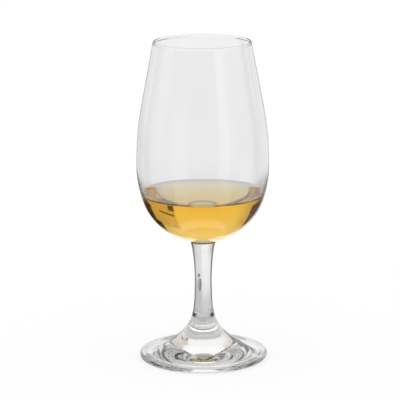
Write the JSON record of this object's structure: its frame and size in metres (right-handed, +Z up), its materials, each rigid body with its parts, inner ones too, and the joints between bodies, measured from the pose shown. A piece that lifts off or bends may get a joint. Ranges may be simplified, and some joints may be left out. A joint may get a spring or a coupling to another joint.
{
  "type": "whisky nosing glass",
  "caption": "Clear tulip-shaped nosing glass on a drawn stem and round foot, tapering to a narrow rim, holding a small measure of amber whisky.",
  "frame": {"origin": "middle of the ring that the foot stands on, at table level", "axes": "+Z up along the glass's axis of revolution, from the foot to the rim; X and Y are alike"},
  "size_m": [0.0638, 0.0638, 0.1553],
  "materials": {
    "clear_glass": "clear, fire-polished",
    "amber_whisky": "clear amber liquid"
  },
  "bodies": {
    "root": {"bowl": "clear_glass", "stem": "clear_glass", "foot": "clear_glass", "whisky": "amber_whisky"}
  },
  "joints": []
}
